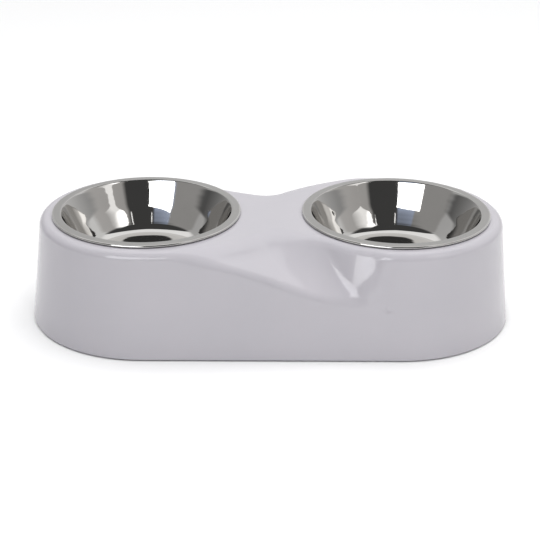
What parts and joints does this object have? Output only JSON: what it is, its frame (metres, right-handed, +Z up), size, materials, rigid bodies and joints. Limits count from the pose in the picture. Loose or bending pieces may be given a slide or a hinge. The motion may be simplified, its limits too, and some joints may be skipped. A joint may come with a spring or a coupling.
{
  "type": "double pet bowl",
  "caption": "Double pet bowl: an oblong moulded stand with a twisting saddle between raised collars, steel bowls that lift straight out, and rubber feet.",
  "frame": {"origin": "on the floor under the middle of the stand", "axes": "+X along the stand to the right bowl, +Y to the back, +Z up"},
  "size_m": [0.3398, 0.1648, 0.0774],
  "materials": {
    "stand_plastic": "glossy pale lilac grey",
    "bowl_steel": "polished inside, satin flange",
    "foot_rubber": "matt"
  },
  "bodies": {
    "stand": {"stand_shell": "stand_plastic", "foot_front_left": "foot_rubber", "foot_front_right": "foot_rubber", "foot_back_left": "foot_rubber", "foot_back_right": "foot_rubber"},
    "left_bowl_body": {"left_bowl": "bowl_steel"},
    "right_bowl_body": {"right_bowl": "bowl_steel"}
  },
  "joints": [
    {"name": "left_bowl_lift", "type": "slide", "parent": "stand", "child": "left_bowl_body", "axis": [0, 0, 1], "range_m": [0, 0.08]},
    {"name": "right_bowl_lift", "type": "slide", "parent": "stand", "child": "right_bowl_body", "axis": [0, 0, 1], "range_m": [0, 0.08]}
  ]
}
